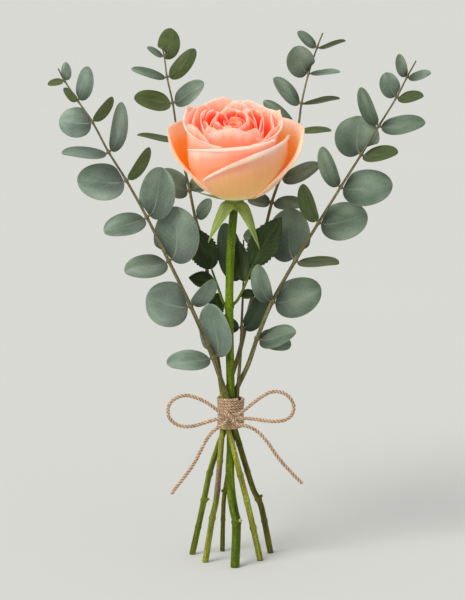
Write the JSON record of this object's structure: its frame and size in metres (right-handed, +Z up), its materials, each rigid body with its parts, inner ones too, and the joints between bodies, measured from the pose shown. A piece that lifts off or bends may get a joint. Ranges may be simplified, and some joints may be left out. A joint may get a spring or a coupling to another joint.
{
  "type": "hand-tied rose and eucalyptus posy",
  "caption": "Upright hand-tied posy: an open peach garden rose among eucalyptus sprigs, tied at the waist with a jute bow, standing on splayed cut stems.",
  "frame": {"origin": "centre of the rose stem's level cut end, on the surface that the posy stands on", "axes": "+Z up towards the bloom, -Y towards the front, where the bow and the face of the rose are, +X to the viewer's right"},
  "size_m": [0.2621, 0.1125, 0.3713],
  "materials": {
    "rose_stem": "matte",
    "calyx": "matte",
    "petal_outer": "matte",
    "petal_inner": "matte",
    "rose_leaf": "satin",
    "eucalyptus_leaf": "matte",
    "eucalyptus_stem": "matte",
    "jute_twine": "matte"
  },
  "bodies": {
    "root": {"bow_knot": "jute_twine", "bow_loop_left": "jute_twine", "bow_loop_right": "jute_twine", "eucalyptus_stem_back_left": "eucalyptus_stem", "eucalyptus_stem_back_right": "eucalyptus_stem", "eucalyptus_stem_centre": "eucalyptus_stem", "eucalyptus_stem_front_left": "eucalyptus_stem", "eucalyptus_stem_front_right": "eucalyptus_stem", "leaf_pair_back_left_1": "eucalyptus_leaf", "leaf_pair_back_left_2": "eucalyptus_leaf", "leaf_pair_back_left_3": "eucalyptus_leaf", "leaf_pair_back_left_4": "eucalyptus_leaf", "leaf_pair_back_right_1": "eucalyptus_leaf", "leaf_pair_back_right_2": "eucalyptus_leaf", "leaf_pair_back_right_3": "eucalyptus_leaf", "leaf_pair_back_right_4": "eucalyptus_leaf", "leaf_pair_back_right_5": "eucalyptus_leaf", "leaf_pair_centre_1": "eucalyptus_leaf", "leaf_pair_centre_2": "eucalyptus_leaf", "leaf_pair_front_left_1": "eucalyptus_leaf", "leaf_pair_front_left_2": "eucalyptus_leaf", "leaf_pair_front_left_3": "eucalyptus_leaf", "leaf_pair_front_left_4": "eucalyptus_leaf", "leaf_pair_front_left_5": "eucalyptus_leaf", "leaf_pair_front_left_6": "eucalyptus_leaf", "leaf_pair_front_left_7": "eucalyptus_leaf", "leaf_pair_front_right_1": "eucalyptus_leaf", "leaf_pair_front_right_2": "eucalyptus_leaf", "leaf_pair_front_right_3": "eucalyptus_leaf", "leaf_pair_front_right_4": "eucalyptus_leaf", "leaf_pair_front_right_5": "eucalyptus_leaf", "leaf_pair_front_right_6": "eucalyptus_leaf", "leaf_pair_front_right_7": "eucalyptus_leaf", "petal_back_left": "petal_outer", "petal_back_right": "petal_outer", "petal_front_high": "petal_outer", "petal_front_low": "petal_outer", "petal_guard_left": "petal_outer", "petal_guard_right": "petal_outer", "petal_heart": "petal_inner", "petal_heart_left": "petal_inner", "petal_heart_right": "petal_inner", "petal_inner_back": "petal_inner", "petal_inner_front": "petal_inner", "petal_inner_left": "petal_inner", "petal_inner_right": "petal_inner", "petal_left_tall": "petal_outer", "petal_right_tall": "petal_outer", "rose_hip": "calyx", "rose_leaf_left": "rose_leaf", "rose_leaf_right": "rose_leaf", "rose_stem": "rose_stem", "sepal_1": "calyx", "sepal_2": "calyx", "sepal_3": "calyx", "sepal_4": "calyx", "sepal_5": "calyx", "twine_tail_left": "jute_twine", "twine_tail_right": "jute_twine", "twine_wrap": "jute_twine"}
  },
  "joints": []
}
